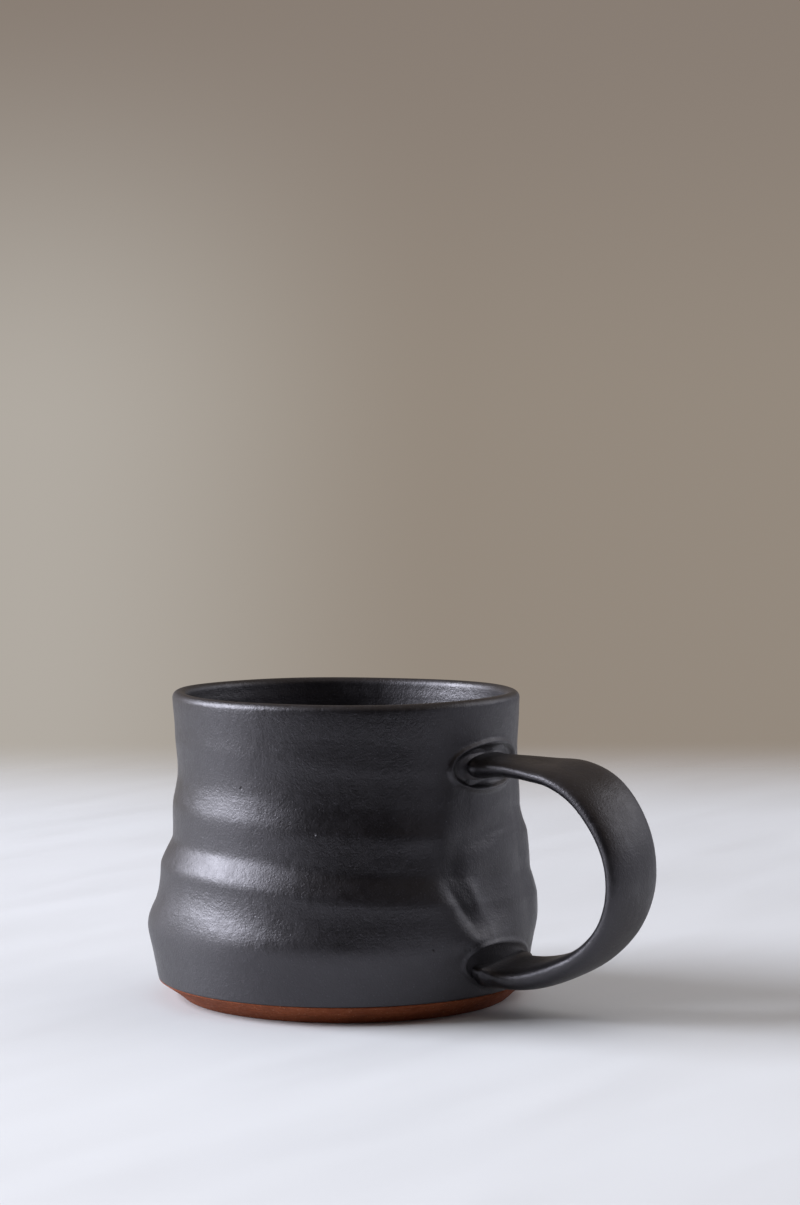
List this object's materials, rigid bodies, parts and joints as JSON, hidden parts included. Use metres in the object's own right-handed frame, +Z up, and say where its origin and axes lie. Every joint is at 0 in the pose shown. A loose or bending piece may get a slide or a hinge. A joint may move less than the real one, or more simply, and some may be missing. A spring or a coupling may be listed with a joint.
{
  "type": "ceramic mug",
  "caption": "Squat hand-thrown ceramic mug with spiral throwing rings, a pulled strap handle and a bare foot; holds a hot drink.",
  "frame": {"origin": "where the cup's axis meets the flat underside, which is the table's plane", "axes": "+Z up the cup's axis to the lip, +X from the axis towards the handle, +Y across the handle's width"},
  "size_m": [0.14, 0.1019, 0.0796],
  "materials": {
    "terracotta": "bare fired red clay, fine grog, matt",
    "slip": "fired red slip, matt",
    "black_glaze": "satin-matt charcoal black glaze with a fine silvery speckle"
  },
  "bodies": {
    "root": {"cup_body": "terracotta", "handle_strap": "terracotta", "upper_slip_joint": "slip", "lower_slip_joint": "slip", "upper_join_coil": "terracotta", "lower_join_coil": "terracotta", "outer_glaze": "black_glaze", "liner_glaze": "black_glaze", "handle_glaze": "black_glaze"}
  },
  "joints": []
}
